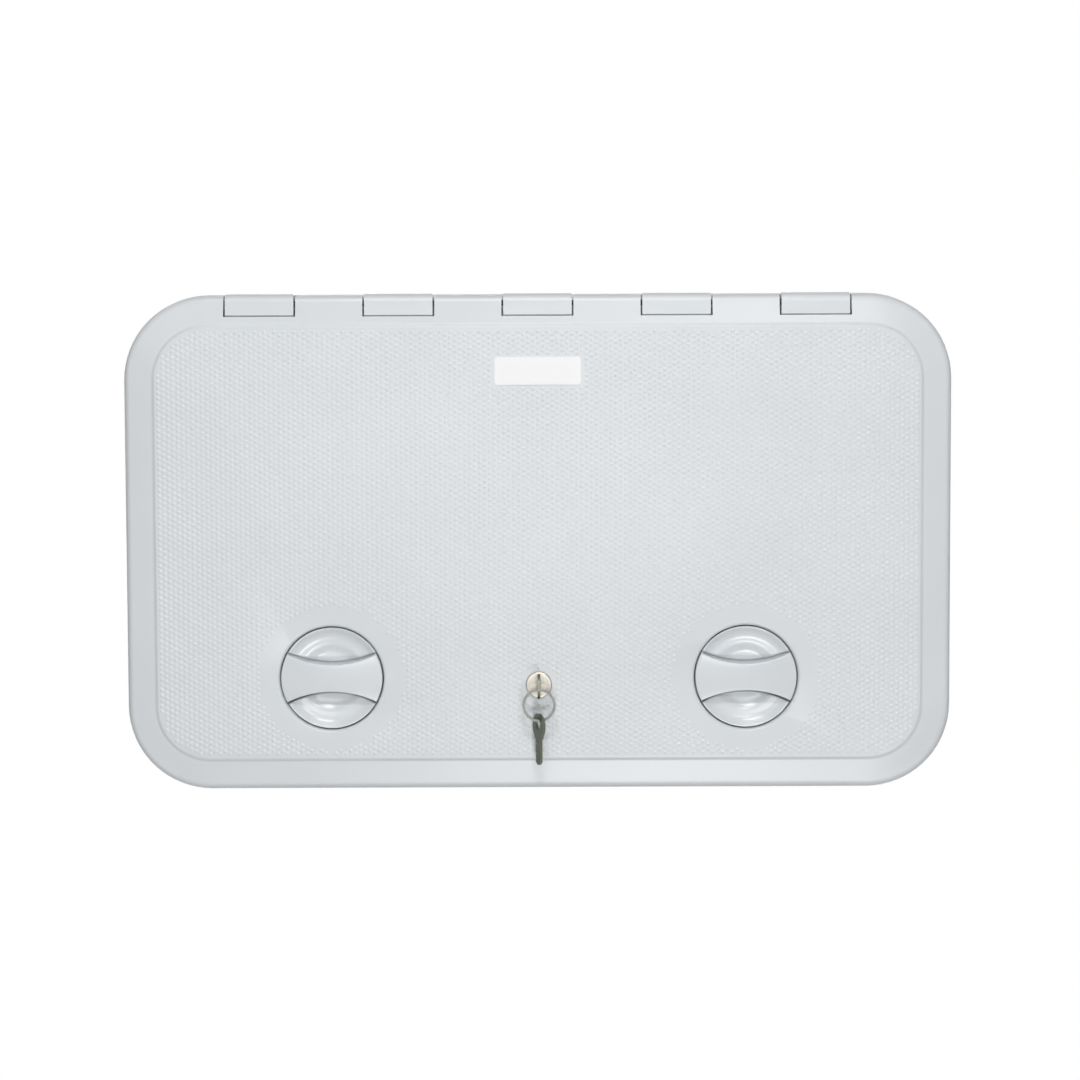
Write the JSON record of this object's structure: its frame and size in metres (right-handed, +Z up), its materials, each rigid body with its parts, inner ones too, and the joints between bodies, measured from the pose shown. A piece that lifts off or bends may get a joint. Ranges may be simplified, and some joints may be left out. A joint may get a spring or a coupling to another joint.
{
  "type": "access hatch",
  "caption": "Light grey rectangular wall hatch with rounded corners, a top-hinged pimpled lid, quarter-turn grips, a cam lock and its keys on a split ring.",
  "frame": {"origin": "middle of the opening, on the plane where the flange's back meets the wall", "axes": "+X to the right as seen from outside, +Z up, and the front faces -Y; the collar enters the wall towards +Y"},
  "size_m": [0.6, 0.0692, 0.36],
  "materials": {
    "frame_plastic": "satin moulded light grey plastic",
    "lid_plastic": "light grey plastic, pimpled panel and smooth border",
    "grip_plastic": "satin moulded light grey plastic",
    "plate_plastic": "plain white",
    "tongue_plastic": "moulded grey plastic",
    "washer_plastic": "black",
    "seal_foam": "closed-cell foam",
    "steel": "zinc-plated",
    "lock_chrome": "bright nickel",
    "key_metal": "worn nickel plate"
  },
  "bodies": {
    "frame": {"mounting_frame": "frame_plastic", "hinge_rod": "steel"},
    "lid": {"lid_panel": "lid_plastic", "lid_seal": "seal_foam", "blank_name_plate": "plate_plastic", "lock_barrel": "lock_chrome", "lock_nut": "lock_chrome"},
    "left_latch": {"left_latch_grip": "grip_plastic", "left_latch_washer": "washer_plastic", "left_latch_tongue": "tongue_plastic", "left_latch_screw": "steel"},
    "right_latch": {"right_latch_grip": "grip_plastic", "right_latch_washer": "washer_plastic", "right_latch_tongue": "tongue_plastic", "right_latch_screw": "steel"},
    "lock": {"lock_plug": "lock_chrome", "lock_cam": "steel", "lock_cam_screw": "steel", "key_in_lock": "key_metal"},
    "ring": {"key_ring": "key_metal"},
    "loose_key": {"spare_key": "key_metal"}
  },
  "joints": [
    {"name": "lid_hinge", "type": "hinge", "parent": "frame", "child": "lid", "pos_m": [0, -0.0096, 0.1732], "axis": [-1, 0, 0], "range_deg": [0, 120]},
    {"name": "left_latch_turn", "type": "hinge", "parent": "lid", "child": "left_latch", "pos_m": [-0.15, 0, -0.0975], "axis": [0, 1, 0], "range_deg": [0, 90]},
    {"name": "right_latch_turn", "type": "hinge", "parent": "lid", "child": "right_latch", "pos_m": [0.15, 0, -0.0975], "axis": [0, 1, 0], "range_deg": [0, 90]},
    {"name": "lock_turn", "type": "hinge", "parent": "lid", "child": "lock", "pos_m": [0, 0, -0.1025], "axis": [0, 1, 0], "range_deg": [0, 90]},
    {"name": "ring_swing", "type": "hinge", "parent": "lock", "child": "ring", "pos_m": [0, -0.0326, -0.10472], "axis": [-1, 0, 0], "range_deg": [0, 60]},
    {"name": "spare_key_swing", "type": "hinge", "parent": "ring", "child": "loose_key", "pos_m": [0, -0.0326, -0.11582], "axis": [0, 1, 0], "range_deg": [-90, 90]}
  ]
}
